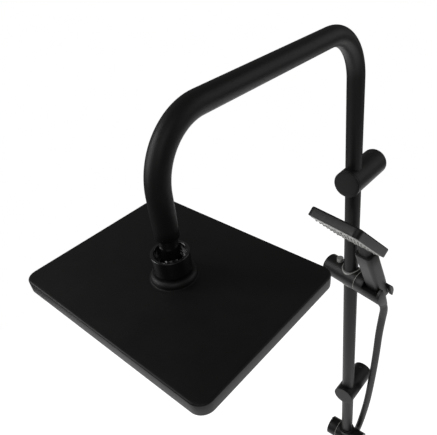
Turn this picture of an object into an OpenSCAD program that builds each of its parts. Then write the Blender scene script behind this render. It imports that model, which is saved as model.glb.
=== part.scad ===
// Wall-mounted shower column: a bent overhead pipe with a rectangular rain head on a ball joint, a
// rail on two round wall brackets, a sliding holder with a hand shower and hose, and a diverter.
// Origin: the wall face of the upper bracket. +Y points into the wall, +X to the right, +Z up.

/* [Pipe and wall] */
// Outside diameter of the pipes, mm
pipe_d = 22; // [20:0.5:25]
// Wall of the pipes
pipe_wall = 1.2; // [1:0.1:1.5]
// Distance from the wall to the rail's axis
wall_gap = 60; // [56:1:70]
// Height of the overhead arm's axis above the upper bracket
arm_h = 195; // [180:5:240]
// Length of the overhead arm, from the rail's axis to the drop's axis
arm_l = 320; // [280:5:360]
// Radius of the two pipe bends
bend_r = 60; // [50:1:70]
// Outward lean of the drop at the arm's front end, degrees
drop_lean = 4; // [0:1:6]
// Straight length of the drop below its bend
drop_l = 39; // [36:1:60]

/* [Rain head] */
// Width of the rain head, along the wall
head_w = 230; // [200:5:260]
// Depth of the rain head, out from the wall
head_d = 173; // [150:1:200]
// Thickness of the rain head
head_t = 13; // [11:0.5:16]
// Radius of the rain head's upright corners
head_corner = 12; // [6:1:20]
// Sideways tilt of the rain head on its ball, degrees
head_tilt = 4; // [0:1:8]
// Nozzles along the width and along the depth of the rain head
nozzle_rows = [11, 8];
// Spacing of the rain head's nozzles
nozzle_pitch = 19; // [15:1:19]

/* [Brackets] */
// Diameter of the round brackets and the diverter
bracket_d = 38; // [36:1:42]
// Distance between the two brackets
bracket_gap = 465; // [400:5:520]

/* [Slider and hand shower] */
// Height of the slider's axis, measured from the upper bracket's axis
slider_z = -172; // [-220:1:-120]
// Diameter of the slider and its holder
slider_d = 35; // [34:0.5:40]
// Turn of the slider on the rail, degrees
slider_turn = -13; // [-20:1:0]
// Forward lean of the hand shower's handle, degrees
handle_lean = 20; // [18:1:24]
// Lean of the hand shower's head, degrees
hand_head_lean = 43; // [40:1:48]
// Width of the hand shower's head
hand_w = 83; // [78:1:100]
// Height of the hand shower's head
hand_h = 86; // [76:1:90]
// Thickness of the hand shower's head
hand_t = 14; // [11:0.5:16]

/* [Hose and diverter] */
// Outside diameter of the smooth hose
hose_d = 12.5; // [12:0.5:14]
// Height of the diverter's axis, measured from the upper bracket's axis
diverter_z = -617; // [-640:1:-600]

/* [Hidden] */
$fn = 96;

black = "#1b1a1a";
soft_black = "#2a2827";
rubber = "#101010";
clear_grey = "#c9c9c6";
brass = "#b08d4a";
steel = "#a9abad";

eps = 0.01;
fit = 0.05;            // radial clearance of a turning or sliding fit
gap = 0.3;             // clearance between faces of pieces that move past each other
pipe_r = pipe_d / 2;
bore_r = pipe_r - pipe_wall;
br = bracket_d / 2;
slider_r = slider_d / 2;

// Where the parts of the overhead pipe lie, as [y, z]
bend_z = arm_h - bend_r;
back_c = [-wall_gap - bend_r, bend_z];
front_c = [-wall_gap - arm_l + bend_r, bend_z];
drop_top = front_c + bend_r * [-cos(drop_lean), sin(drop_lean)];
drop_dir = [-sin(drop_lean), -cos(drop_lean)];

// The ball joint hangs below the drop's end
ball_r = 10.5;
ball_below = 29;
ball_c = drop_top + (drop_l + ball_below) * drop_dir;
nut_r = 17.5;
nut_top = 15;          // heights from the ball's centre, in the rain head's own frame
nut_low = -2.5;
head_top = -11.5;
spigot_r = 13.9;

// Bracket lengths out from the wall
bracket_front = wall_gap + 18.5;
cap_t = 3;
stub_l = 30;
stub_r = 14;

// The slider's own frame has X along its axis and the rail's axis at its origin
bush_r = 13.8;
slider_left = -45;
slider_right = 18.6;
seam_t = 0.9;
holder_left = slider_right + seam_t + 0.1;
holder_right = 68.5;
handle_x = 49;         // the handle's plane, along the slider's axis
handle_fwd = -5;       // where the handle's axis crosses the slider's height, forward of its axis
handle_size = [27.5, 22.5];
handle_end = [26, 21];
handle_low = -11;
handle_high = 91;
taper_top = 24;
cone_low = -46;
cone_top_r = 9.4;
lip_top = 5;           // height of the holder's front lip above the slider's axis
button_x = -23;
button_r = 5.2;
button_top = 24;
button_low = 9;
button_travel = 3;
spring_solid = 7;      // the spring's shortest length
button_floor = button_low - button_travel - spring_solid;

// Centre of the back of the hand shower's head in the slider's frame, as [forward, up]
hand_c = [58, 143];

// The diverter's frame has its origin where the rail's axis crosses its body's axis
div_left = -18.5;
div_right = 34;
collar_top = 21;
collar_r = 15;
inlet_x = -5;
outlet_x = 22;
knob_left = -38;
thread_r = 10.48;      // G 1/2 outside thread

// The hose's route, from the cone nut at the handle's end to the ferrule under the diverter
hose_start = cone_low - 0.4;
hose_top = slider_point(handle_x, handle_point(0, hose_start));
hose_low = [outlet_x, -wall_gap, diverter_z - 62];
hose_route = [
  hose_top,
  hose_top + [0.5, 3.2, -9.3],
  [51.6, -43.6, -238],
  [48.6, -40.2, -258],
  [44.5, -38, -300],
  [41, -36, -360],
  [36, -34.5, -430],
  [28.5, -33, -510],
  [18, -33, -585],
  [7, -32, -640],
  [-9, -30, -690],
  [-30, -27, -738],
  [-52, -25, -785],
  [-70, -24, -833],
  [-79, -24, -880],
  [-74, -25, -921],
  [-53, -27, -954],
  [-21, -29, -971],
  [13, -32, -967],
  [41, -38, -944],
  [56, -44, -908],
  [59, -49, -864],
  [53, -54, -819],
  [42, -58, -775],
  [29, -60, -734],
  hose_low + [0, 0, -18],
  hose_low
];

// A point of the handle's own frame, forward f and up s, as [forward, up] in the slider's frame
function handle_point(f, s) = [
  handle_fwd + s * sin(handle_lean) + f * cos(handle_lean),
  s * cos(handle_lean) - f * sin(handle_lean)
];

// A point at x and [forward, up] in the slider's frame, in the column's frame
function slider_point(x, p) = [
  x * cos(slider_turn) + p[0] * sin(slider_turn),
  -wall_gap + x * sin(slider_turn) - p[0] * cos(slider_turn),
  slider_z + p[1]
];

// Points on a smooth curve through a list of points
function spline(p, i, t) = let (
  a = p[max(i - 1, 0)],
  b = p[i],
  c = p[i + 1],
  d = p[min(i + 2, len(p) - 1)]
) 0.5 * ((2 * b) + (c - a) * t + (2 * a - 5 * b + 4 * c - d) * t * t
  + (3 * b - a - 3 * c + d) * t * t * t);
function smooth(p, steps) = concat(
  [for (i = [0:len(p) - 2], k = [0:steps - 1]) spline(p, i, k / steps)],
  [p[len(p) - 1]]
);
function unit(v) = v / norm(v);
function tangent(p, i) = unit(p[min(i + 1, len(p) - 1)] - p[max(i - 1, 0)]);
function side(t) = unit(cross(t, abs(t[1]) < 0.9 ? [0, 1, 0] : [1, 0, 0]));

// A round tube swept along a path of points, with flat ends square to the end directions
module sweep(path, r, sides) {
  n = len(path);
  points = [
    for (i = [0:n - 1])
      let (t = tangent(path, i), u = side(t), v = cross(t, u))
      for (k = [0:sides - 1])
        path[i] + r * (cos(360 * k / sides) * u + sin(360 * k / sides) * v)
  ];
  sides_faces = [
    for (i = [0:n - 2], k = [0:sides - 1])
      let (m = (k + 1) % sides)
      [i * sides + k, i * sides + m, (i + 1) * sides + m, (i + 1) * sides + k]
  ];
  ends = [
    [for (k = [sides - 1:-1:0]) k],
    [for (k = [0:sides - 1]) (n - 1) * sides + k]
  ];
  polyhedron(points, concat(sides_faces, ends), convexity = 6);
}

// Frames that groups of pieces are drawn in
module at_rail(z) { translate([0, -wall_gap, z]) children(); }
module along_x(x) { translate([x, 0, 0]) rotate([0, 90, 0]) children(); }
module out_of_wall(y) { translate([0, y, 0]) rotate([90, 0, 0]) children(); }
module at_drop(down) {
  translate([0, drop_top[0], drop_top[1]]) rotate([-drop_lean, 0, 0])
    translate([0, 0, -down]) children();
}
module at_head() { translate([0, ball_c[0], ball_c[1]]) rotate([0, head_tilt, 0]) children(); }
module at_slider() { at_rail(slider_z) rotate([0, 0, slider_turn]) children(); }
module at_handle() {
  at_slider() translate([handle_x, -handle_fwd, 0]) rotate([handle_lean, 0, 0]) children();
}
module at_hand_head() {
  at_slider() translate([handle_x, -hand_c[0], hand_c[1]]) rotate([hand_head_lean, 0, 0])
    children();
}

module rounded_square(size, r) {
  inner = size - 2 * [r, r];
  square([size[0], inner[1]], center = true);
  square([inner[0], size[1]], center = true);
  for (x = [-1, 1], y = [-1, 1])
    translate([x * inner[0] / 2, y * inner[1] / 2]) circle(r);
}

// A flat slab with upright corners of radius r and a small bevel round its top and bottom edges
module slab(size, t, r, bevel) {
  hull() {
    translate([0, 0, bevel]) linear_extrude(t - 2 * bevel) rounded_square(size, r, $fn = 48);
    linear_extrude(t) rounded_square(size - 2 * [bevel, bevel], r - bevel, $fn = 48);
  }
}

// ---------------------------------------------------------------- overhead pipe and rail
// A pipe's cut end
module pipe_ring() {
  difference() {
    circle(pipe_r);
    circle(bore_r);
  }
}

// A bend in the plane of the arm, round a centre given as [y, z], from one angle through another
module pipe_bend(centre, from, turn) {
  translate([0, centre[0], centre[1]]) rotate([90, 0, 90]) rotate([0, 0, from])
    rotate_extrude(angle = turn) translate([bend_r, 0]) pipe_ring();
}

// A bead 0.02 mm proud where the drop leaves its bend, which closes the small gap between them
bead_t = 1;
bead_gap = 0.2;

module drop_bead() {
  translate([0, 0, -bead_t / 2]) linear_extrude(bead_t) difference() {
    circle(pipe_r + 0.02);
    circle(bore_r - 0.02);
  }
}

module upper_pipe() {
  color(black) {
    at_rail(gap / 2) linear_extrude(bend_z - gap / 2) pipe_ring();
    pipe_bend(back_c, 0, 90);
    translate([0, back_c[0], arm_h]) rotate([90, 0, 0])
      linear_extrude(back_c[0] - front_c[0]) pipe_ring();
    pipe_bend(front_c, 90, 90 - drop_lean);
    at_drop(0) drop_bead();
    at_drop(drop_l) linear_extrude(drop_l - bead_gap) pipe_ring();
  }
}

rail_low = diverter_z + 9;

module lower_rail() {
  color(black) at_rail(rail_low) linear_extrude(-gap / 2 - rail_low) pipe_ring();
}

coupler_half = 24;
groove_z = [9, 15];
ring_r = 0.9;          // section of the sealing rings in the pipes
ring_x = bore_r - ring_r - fit;

module pipe_coupler() {
  color(brass) at_rail(0) rotate_extrude() difference() {
    translate([7, -coupler_half]) square([bore_r - fit - 7, 2 * coupler_half]);
    for (z = groove_z) translate([ring_x, z]) circle(ring_r + fit);
  }
}

module coupler_o_rings() {
  color(rubber) at_rail(0) for (z = groove_z)
    rotate_extrude() translate([ring_x, z]) circle(ring_r);
}

// ---------------------------------------------------------------- ball joint
// Heights below are measured up from the ball's centre along the drop
module ball_nipple() {
  neck_r = 6.4;
  flange_r = 8.8;
  pipe_end = ball_below;
  color(soft_black) at_drop(drop_l + ball_below) difference() {
    union() {
      sphere(ball_r);
      cylinder(r = neck_r, h = pipe_end - 11);
      translate([0, 0, 10]) cylinder(r = flange_r, h = pipe_end - 10);
      translate([0, 0, pipe_end - eps]) cylinder(r = bore_r - fit, h = 9);
    }
    translate([0, 0, -ball_r - 1]) cylinder(r = 4, h = 50);
    translate([0, 0, pipe_end + 4.5]) rotate_extrude() translate([ring_x, 0]) circle(ring_r + fit);
  }
}

module nipple_o_ring() {
  color(rubber) at_drop(drop_l - 4.5) rotate_extrude() translate([ring_x, 0]) circle(ring_r);
}

seat_r = ball_r + fit;

// A ring cut from a round bar, hollowed by the ball
module ball_ring(outer, low, high) {
  difference() {
    translate([0, 0, low]) cylinder(r = outer, h = high - low);
    sphere(seat_r);
    translate([0, 0, -20]) cylinder(r = 5, h = 40);
  }
}

// Thin glide ring with a round outside, so that it can tilt inside the head's socket
module ball_seat_ring() {
  color(clear_grey) at_head() intersection() {
    ball_ring(12.5, -0.5, 1.6);
    sphere(11.85);
  }
}

module ball_seal() { color(rubber) at_head() ball_ring(11.9, -8.9, -3); }

module union_nut() {
  color(soft_black) at_head() rotate_extrude() polygon([
    [spigot_r + fit, nut_low], [nut_r - 0.6, nut_low], [nut_r, nut_low + 0.6],
    [nut_r, nut_top - 1], [nut_r - 1, nut_top], [nut_r - 2.4, nut_top],
    [nut_r - 3, nut_top - 0.8], [nut_r - 3, 6.2], [9.9, 6.2], [9.9, 4.1],
    [spigot_r + fit, 4.1]
  ]);
}

module filter_washer() {
  color(rubber) at_head() translate([0, 0, -10.9]) difference() {
    cylinder(r = 11.5, h = 1.8);
    translate([0, 0, -1]) cylinder(r = 6, h = 4);
  }
}

// ---------------------------------------------------------------- rain head
shell_wall = 2.5;
shell_top = 3;
plate_t = 2;
mat_t = 2;
inner_size = [head_w, head_d] - 2 * [shell_wall, shell_wall];

module nozzle_places() {
  for (i = [0:nozzle_rows[0] - 1], j = [0:nozzle_rows[1] - 1])
    translate([
      (i - (nozzle_rows[0] - 1) / 2) * nozzle_pitch,
      (j - (nozzle_rows[1] - 1) / 2) * nozzle_pitch
    ]) children();
}

module head_shell() {
  under = head_top - head_t;
  color(black) at_head() difference() {
    union() {
      translate([0, 0, under]) slab([head_w, head_d], head_t, head_corner, 1.2);
      // flared collar under the nut, then the spigot that the nut screws on
      rotate_extrude() polygon(concat(
        [[0, head_top - 1], [21.6, head_top - 1], [21.6, head_top + 1.5]],
        [for (a = [0:15:90]) [17.6 + 4 * cos(a), head_top + 1.5 + 5 * sin(a)]],
        [[spigot_r, head_top + 6.5], [spigot_r, 0.5], [0, 0.5]]
      ));
    }
    translate([0, 0, -9]) cylinder(r = 12, h = 20);
    translate([0, 0, -11]) cylinder(r = 11.6, h = 20);
    translate([0, 0, under - 1]) cylinder(r = 8, h = 20);
    translate([0, 0, under - 1]) linear_extrude(head_t - shell_top + 1)
      rounded_square(inner_size, head_corner - shell_wall);
  }
}

module head_face_plate() {
  color(soft_black) at_head() translate([0, 0, head_top - head_t + 0.4])
    linear_extrude(plate_t) difference() {
      rounded_square(inner_size - [0.2, 0.2], head_corner - shell_wall);
      nozzle_places() circle(2.6, $fn = 24);
    }
}

module nozzle_mat() {
  low = head_top - head_t;
  color(soft_black) at_head() {
    translate([0, 0, low + 0.4 + plate_t]) linear_extrude(mat_t)
      rounded_square(inner_size - [4, 4], head_corner - shell_wall);
    translate([0, 0, low - 1.2]) linear_extrude(1.7 + plate_t)
      nozzle_places() circle(2.5, $fn = 24);
  }
}

// Disc in the inlet that limits the flow, under the filter washer
module flow_disc() {
  color(clear_grey) at_head() translate([0, 0, head_top - 1.2]) difference() {
    cylinder(r = 7.9, h = 1.75);
    for (a = [0:60:300]) rotate([0, 0, a]) translate([5, 0, -1]) cylinder(r = 1, h = 4, $fn = 24);
  }
}

// ---------------------------------------------------------------- wall brackets
screw_y = -12;         // the set screw's place, out from the wall
screw_low = 13.4;      // its lower end, in the stub's groove

// Round stub that one screw fastens to the wall
module wall_stub(z) {
  color(steel) translate([0, 0, z]) difference() {
    out_of_wall(0) cylinder(r = stub_r - fit, h = stub_l);
    out_of_wall(1) cylinder(r = 2.75, h = stub_l + 2);
    out_of_wall(-stub_l + 3) cylinder(r1 = 2.75, r2 = 6, h = 3 + eps);
    out_of_wall(screw_y) rotate_extrude() translate([stub_r + 2.4, 0]) circle(4);
  }
}

// Sleeve over the stub, bored across for the rail near its front end
module bracket_body(z) {
  color(black) translate([0, 0, z]) difference() {
    out_of_wall(0) cylinder(r = br, h = bracket_front - cap_t);
    out_of_wall(1) cylinder(r = stub_r, h = stub_l + 2);
    translate([0, -wall_gap, -br - 1]) cylinder(r = pipe_r + fit, h = 2 * br + 2);
    translate([0, screw_y, 10]) cylinder(r = 2.5, h = 20);
  }
}

module bracket_cap(z) {
  color(soft_black) translate([0, 0, z]) out_of_wall(-bracket_front + cap_t)
    rotate_extrude() polygon([[0, 0], [br, 0], [br, cap_t - 0.6], [br - 0.6, cap_t], [0, cap_t]]);
}

module upper_wall_stub() { wall_stub(0); }
module lower_wall_stub() { wall_stub(-bracket_gap); }
module upper_bracket_body() { bracket_body(0); }
module lower_bracket_body() { bracket_body(-bracket_gap); }
module upper_bracket_cap() { bracket_cap(0); }
module lower_bracket_cap() { bracket_cap(-bracket_gap); }

// One grub screw with a hexagon socket on top of each bracket
module bracket_set_screws() {
  color(steel) for (z = [0, -bracket_gap]) translate([0, screw_y, z]) difference() {
    translate([0, 0, screw_low]) cylinder(r = 2.45, h = br + 0.4 - screw_low);
    translate([0, 0, br - 1.8]) cylinder(r = 1.45, h = 5, $fn = 6);
  }
}

// ---------------------------------------------------------------- slider and holder
module slider_round(x1, x2, r) { along_x(x1) cylinder(r = r, h = x2 - x1); }

// Clear bush round the rail; its ends follow the slider's round surface
module rail_bush() {
  color(clear_grey) at_slider() intersection() {
    difference() {
      translate([0, 0, -25]) cylinder(r = bush_r, h = 50);
      translate([0, 0, -26]) cylinder(r = pipe_r + fit, h = 52);
    }
    slider_round(-20, 20, slider_r + 0.5);
  }
}

pivot_r = 5;

module slider_body() {
  color(soft_black) at_slider() difference() {
    slider_round(slider_left + 2, slider_right, slider_r);
    translate([0, 0, -25]) cylinder(r = bush_r + fit, h = 50);
    translate([button_x, 0, button_floor]) cylinder(r = button_r + fit, h = 30);
    slider_round(12, slider_right + 1, pivot_r + fit);
  }
}

module slider_end_cap() {
  color(soft_black) at_slider() translate([slider_left + 2, 0, 0]) rotate([0, -90, 0])
    rotate_extrude()
      polygon([[0, 0], [slider_r, 0], [slider_r, 1.4], [slider_r - 0.6, 2], [0, 2]]);
}

module release_button() {
  color("#8b8b88") at_slider() translate([button_x, 0, 0]) rotate_extrude() polygon([
    [0, button_low], [button_r, button_low], [button_r, button_top - 0.8],
    [button_r - 0.8, button_top],
    [0, button_top]
  ]);
}

// Stands for the coil spring under the button
module button_spring() {
  color(steel) at_slider() translate([button_x, 0, button_floor]) difference() {
    cylinder(r = 4.2, h = button_low - button_floor);
    translate([0, 0, -1]) cylinder(r = 3.2, h = 12);
  }
}

module slider_seam_ring() {
  color(clear_grey) at_slider() difference() {
    slider_round(slider_right, slider_right + seam_t, slider_r - 0.1);
    slider_round(slider_right - 1, slider_right + 3, 6);
  }
}

module holder_pivot() {
  color(steel) at_slider() slider_round(bush_r + 0.6, 28.5, pivot_r);
}

// The handle's outline at a height s in its own frame, grown by a clearance
function handle_width(s) =
  handle_end[0] + (handle_size[0] - handle_end[0])
  * min(1, max(0, (s - handle_low) / (taper_top - handle_low)));
function handle_depth(s) =
  handle_end[1] + (handle_size[1] - handle_end[1])
  * min(1, max(0, (s - handle_low) / (taper_top - handle_low)));

// Tapered socket that the handle sits in, with the cone nut's hole below it
module handle_socket() {
  for (part = [[handle_low - gap, taper_top], [taper_top, taper_top + 40]])
    hull() for (s = part)
      translate([-handle_width(s) / 2 - gap, -handle_depth(s) / 2 - gap, s])
        cube([handle_width(s) + 2 * gap, handle_depth(s) + 2 * gap, eps]);
  translate([0, 0, handle_low - 30]) cylinder(r = cone_top_r + 0.4, h = 31);
}

// Slot on the right for the hose, along the handle
module hose_slot() {
  slot = hose_d + 1;
  translate([0, -slot / 2, -60]) cube([40, slot, 120]);
}

module holder_cradle() {
  mouth = handle_size[0] + 2 * gap;
  color(soft_black) difference() {
    at_slider() difference() {
      slider_round(holder_left, holder_right, slider_r);
      slider_round(holder_left - 1, 29, pivot_r + fit);
      // open to the front above the lip
      translate([handle_x - mouth / 2, -40, lip_top]) cube([mouth, 40 - handle_fwd, 40]);
    }
    at_handle() handle_socket();
    at_handle() hose_slot();
  }
}

// ---------------------------------------------------------------- hand shower
module hand_shell() {
  color(soft_black) at_hand_head() difference() {
    rotate([90, 0, 0]) slab([hand_w, hand_h], hand_t - 1.2, 8, 1);
    translate([0, -hand_t + 1.2 + 8, 0]) rotate([90, 0, 0])
      linear_extrude(9) rounded_square([hand_w - 8, hand_h - 8], 5);
  }
}

module hand_face_plate() {
  color(clear_grey) at_hand_head() translate([0, -hand_t + 4.4, 0]) rotate([90, 0, 0])
    linear_extrude(4) rounded_square([hand_w - 8.4, hand_h - 8.4], 4.8);
}

module hand_nozzles() {
  color(clear_grey) at_hand_head() for (i = [-3:3], j = [-3:3])
    translate([i * 10.5, -hand_t + 0.4, j * 9.5]) rotate([90, 0, 0])
      cylinder(r1 = 1.7, r2 = 1.3, h = 1.3, $fn = 24);
}

// Dark neck between the handle's top and the lower edge of the head
module hand_neck() {
  color(rubber) hull() {
    at_handle() translate([0, 0, handle_high]) linear_extrude(1)
      rounded_square([19, 15], 5, $fn = 32);
    at_hand_head() translate([0, -6, -hand_h / 2 - 1.3]) linear_extrude(1)
      rounded_square([26, 8], 3.5, $fn = 32);
  }
}

// Rounded handle that tapers towards its lower end
module hand_handle() {
  spigot = 6.4;
  color(soft_black) at_handle() difference() {
    union() {
      translate([0, 0, taper_top]) linear_extrude(handle_high - taper_top)
        rounded_square(handle_size, 6, $fn = 48);
      hull() {
        translate([0, 0, taper_top]) linear_extrude(eps) rounded_square(handle_size, 6, $fn = 48);
        translate([0, 0, handle_low]) linear_extrude(eps) rounded_square(handle_end, 6, $fn = 48);
      }
      translate([0, 0, handle_low - 12]) cylinder(r = spigot, h = 13);
    }
    translate([0, 0, handle_low - 13]) cylinder(r = 4, h = 30);
  }
}

module hose_cone_nut() {
  color(soft_black) at_handle() difference() {
    translate([0, 0, cone_low]) cylinder(r1 = 7, r2 = cone_top_r, h = handle_low - cone_low - 0.1);
    translate([0, 0, cone_low + 5]) cylinder(r = 6.5, h = 40);
  }
}

// ---------------------------------------------------------------- hose
module hose() { color(rubber) sweep(smooth(hose_route, 3), hose_d / 2, 10); }

module hose_ferrule() {
  color(steel) translate(hose_low) difference() {
    cylinder(r = 7.8, h = 19);
    translate([0, 0, -1]) cylinder(r = 4, h = 22);
  }
}

module hose_hex_nut() {
  color(soft_black) translate(hose_low + [0, 0, 19]) difference() {
    cylinder(r = 13, h = 15, $fn = 6);
    translate([0, 0, 3]) cylinder(r = thread_r + fit, h = 20);
    translate([0, 0, -1]) cylinder(r = 4, h = 20);
  }
}

module hose_washer() {
  color(rubber) translate(hose_low + [0, 0, 22.05]) difference() {
    cylinder(r = 9.2, h = 2);
    translate([0, 0, -1]) cylinder(r = 5.5, h = 4);
  }
}

// ---------------------------------------------------------------- diverter
boss_low = -27;
cartridge_r = 8.6;

module diverter_body() {
  color(black) at_rail(diverter_z) difference() {
    union() {
      slider_round(div_left, div_right, br);
      cylinder(r = collar_r, h = collar_top);
      translate([inlet_x, 0, boss_low]) cylinder(r = 11.5, h = -boss_low);
      translate([outlet_x, 0, boss_low]) cylinder(r = 11.5, h = -boss_low);
    }
    translate([0, 0, 8.9]) cylinder(r = pipe_r + fit, h = 20);
    translate([0, 0, 0]) cylinder(r = 7, h = 20);
    slider_round(div_left - 1, 8, cartridge_r);
    slider_round(0, outlet_x + 4, 5);
    translate([inlet_x, 0, boss_low - 1]) cylinder(r = 6, h = -boss_low);
    translate([outlet_x, 0, boss_low - 1]) cylinder(r = 6, h = -boss_low);
    translate([inlet_x, 0, boss_low - 1]) cylinder(r = 9, h = 8);
    translate([outlet_x, 0, boss_low - 1]) cylinder(r = 9, h = 8);
  }
}

module collar_o_ring() {
  color(rubber) at_rail(diverter_z + collar_top + 0.9) rotate_extrude()
    translate([pipe_r + 0.95, 0]) circle(0.85);
}

module diverter_cartridge() {
  color(clear_grey) at_rail(diverter_z) difference() {
    union() {
      slider_round(div_left, 7.9, cartridge_r - fit);
      slider_round(-30, div_left + 1, 4);
    }
    translate([0, 0, -20]) cylinder(r = 5, h = 40);
    slider_round(-6, 10, 5);
  }
}

module diverter_seam_ring() {
  color(clear_grey) at_rail(diverter_z) difference() {
    slider_round(div_left - 0.9, div_left, br - 0.2);
    slider_round(div_left - 2, div_left + 1, 4.3);
  }
}

module diverter_knob() {
  color(soft_black) at_rail(diverter_z) difference() {
    translate([div_left - 1, 0, 0]) rotate([0, -90, 0]) rotate_extrude() polygon([
      [0, 0], [br, 0], [br, div_left - 1.6 - knob_left], [br - 0.6, div_left - 1 - knob_left],
      [0, div_left - 1 - knob_left]
    ]);
    slider_round(-30.5, 0, 4 + fit);
    translate([knob_left + 4, 0, br - 6]) cylinder(r = 1.75, h = 10);
  }
}

module knob_lever() {
  color(black) at_rail(diverter_z) translate([knob_left + 4, 0, br - 6]) {
    cylinder(r = 1.75, h = 14);
    translate([0, 0, 14]) sphere(1.75, $fn = 32);
  }
}

// Threaded nipple under the diverter; the hose nut or the supply nut screws on its free end
module threaded_nipple(x) {
  at_rail(diverter_z + boss_low) translate([x, 0, 0]) difference() {
    union() {
      translate([0, 0, -9.8]) cylinder(r = thread_r, h = 9.8);
      translate([0, 0, -eps]) cylinder(r = 8.95, h = 6.5);
    }
    translate([0, 0, -11]) cylinder(r = 5.9, h = 20);
  }
}

module hose_outlet() { color(brass) threaded_nipple(outlet_x); }
module inlet_union() { color(brass) threaded_nipple(inlet_x); }

// ---------------------------------------------------------------- every piece in its own node
upper_pipe();
lower_rail();
pipe_coupler();
coupler_o_rings();
ball_nipple();
nipple_o_ring();
ball_seat_ring();
ball_seal();
union_nut();
filter_washer();
head_shell();
nozzle_mat();
head_face_plate();
flow_disc();
upper_wall_stub();
upper_bracket_body();
upper_bracket_cap();
lower_wall_stub();
lower_bracket_body();
lower_bracket_cap();
bracket_set_screws();
rail_bush();
slider_body();
slider_end_cap();
release_button();
button_spring();
slider_seam_ring();
holder_pivot();
holder_cradle();
hand_shell();
hand_face_plate();
hand_nozzles();
hand_neck();
hand_handle();
hose_cone_nut();
hose();
hose_ferrule();
hose_hex_nut();
hose_washer();
diverter_body();
collar_o_ring();
diverter_cartridge();
diverter_seam_ring();
diverter_knob();
knob_lever();
hose_outlet();
inlet_union();
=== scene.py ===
"""Looks of a wall-mounted shower column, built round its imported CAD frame.

Sizes in the building functions are in millimetres, in the frame of the piece being made, and each
piece's placement brings them to metres in the column's own frame: the upper bracket's wall face is
the origin, +Y points into the wall, +X to the right and +Z up.
"""

import math

import bmesh
import bpy
from bpy.props import FloatProperty, FloatVectorProperty, IntProperty, PointerProperty
from mathutils import Matrix, Vector


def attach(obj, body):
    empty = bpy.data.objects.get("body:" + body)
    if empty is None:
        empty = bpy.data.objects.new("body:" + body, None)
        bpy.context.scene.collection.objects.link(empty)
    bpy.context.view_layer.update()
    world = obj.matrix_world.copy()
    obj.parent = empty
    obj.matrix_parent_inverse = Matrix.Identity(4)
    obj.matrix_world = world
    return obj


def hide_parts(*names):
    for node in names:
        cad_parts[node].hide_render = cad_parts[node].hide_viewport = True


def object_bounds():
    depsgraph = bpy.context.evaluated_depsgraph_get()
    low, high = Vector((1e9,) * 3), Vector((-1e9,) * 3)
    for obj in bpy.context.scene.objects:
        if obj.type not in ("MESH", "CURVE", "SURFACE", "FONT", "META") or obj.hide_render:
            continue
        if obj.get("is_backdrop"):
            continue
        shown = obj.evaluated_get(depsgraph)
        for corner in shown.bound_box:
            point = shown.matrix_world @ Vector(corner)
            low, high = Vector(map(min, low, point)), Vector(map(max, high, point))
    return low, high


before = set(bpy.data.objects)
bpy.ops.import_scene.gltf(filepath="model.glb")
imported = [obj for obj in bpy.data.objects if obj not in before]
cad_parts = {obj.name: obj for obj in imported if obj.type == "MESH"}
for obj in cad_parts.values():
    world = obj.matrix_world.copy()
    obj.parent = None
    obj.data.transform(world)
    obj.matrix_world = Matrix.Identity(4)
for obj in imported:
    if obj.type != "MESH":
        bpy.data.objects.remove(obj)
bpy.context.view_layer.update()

bl_info = {
    "name": "Shower Column Looks",
    "version": (1, 0, 0),
    "blender": (4, 5, 0),
    "location": "3D View > Sidebar > Shower Column",
    "description": "Builds the visible pieces, finishes and studio of a wall-mounted shower column",
    "category": "Object",
}

# ------------------------------------------------------------------ sizes shared with the CAD, mm
MM = 0.001
PIPE_R = 11.0
PIPE_BORE = 9.8
PIPE_GAP = 0.15
RAIL_Y = -60.0
ARM_Z = 195.0
ARM_L = 320.0
BEND_R = 60.0
DROP_LEAN = math.radians(4)
DROP_L = 39.0
BALL_BELOW = 29.0
BALL_R = 10.5
HEAD_ROLL = math.radians(4)
BRACKET_R = 19.0
BRACKET_FRONT = 78.5
BRACKET_CAP = 3.0
BRACKET_ZS = {"upper": 0.0, "lower": -465.0}
SLIDER_R = 17.5
SLIDER_Z = -172.0
SLIDER_TURN = math.radians(-13)
SLIDER_ENDS = (-45.0, 18.6)
BUTTON_X = -23.0
HOLDER_ENDS = (19.6, 68.5)
HANDLE_X, HANDLE_Y = 49.0, 5.0
HANDLE_LEAN = math.radians(20)
HANDLE_LOW, HANDLE_TAPER, HANDLE_HIGH = -11.0, 24.0, 91.0
HANDLE_SIZE = (27.5, 22.5)
HANDLE_END = (26.0, 21.0)
CONE_LOW = -46.0
LIP_TOP = 5.0
CONE_TOP_R = 9.4
HAND_LEAN = math.radians(43)
HAND_W, HAND_H, HAND_T = 83.0, 86.0, 14.0
HAND_Y, HAND_Z = -58.0, 143.0
DIVERTER_Z = -617.0
KNOB_X = -18.5
LEVER_X = -34.0

FRONT_BEND_Y = RAIL_Y - ARM_L + BEND_R
BEND_Z = ARM_Z - BEND_R
DROP_TOP = Vector((0, FRONT_BEND_Y - BEND_R * math.cos(DROP_LEAN),
                   BEND_Z + BEND_R * math.sin(DROP_LEAN)))
DROP_DOWN = Vector((0, -math.sin(DROP_LEAN), -math.cos(DROP_LEAN)))
BALL = DROP_TOP + (DROP_L + BALL_BELOW) * DROP_DOWN

# The hose's route, the same points as the CAD hose follows, mm
HOSE_ROUTE = [
    (51.6, -43.6, -238), (48.6, -40.2, -258), (44.5, -38, -300), (41, -36, -360),
    (36, -34.5, -430), (28.5, -33, -510), (18, -33, -585), (7, -32, -640), (-9, -30, -690),
    (-30, -27, -738), (-52, -25, -785), (-70, -24, -833), (-79, -24, -880), (-74, -25, -921),
    (-53, -27, -954), (-21, -29, -971), (13, -32, -967), (41, -38, -944), (56, -44, -908),
    (59, -49, -864), (53, -54, -819), (42, -58, -775), (29, -60, -734),
]
HOSE_LOW = Vector((22, -60, -679))
HOSE_END_LEG = 18.0


# ------------------------------------------------------------------ placements
def moved(x, y, z):
    return Matrix.Translation((x, y, z))


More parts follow.
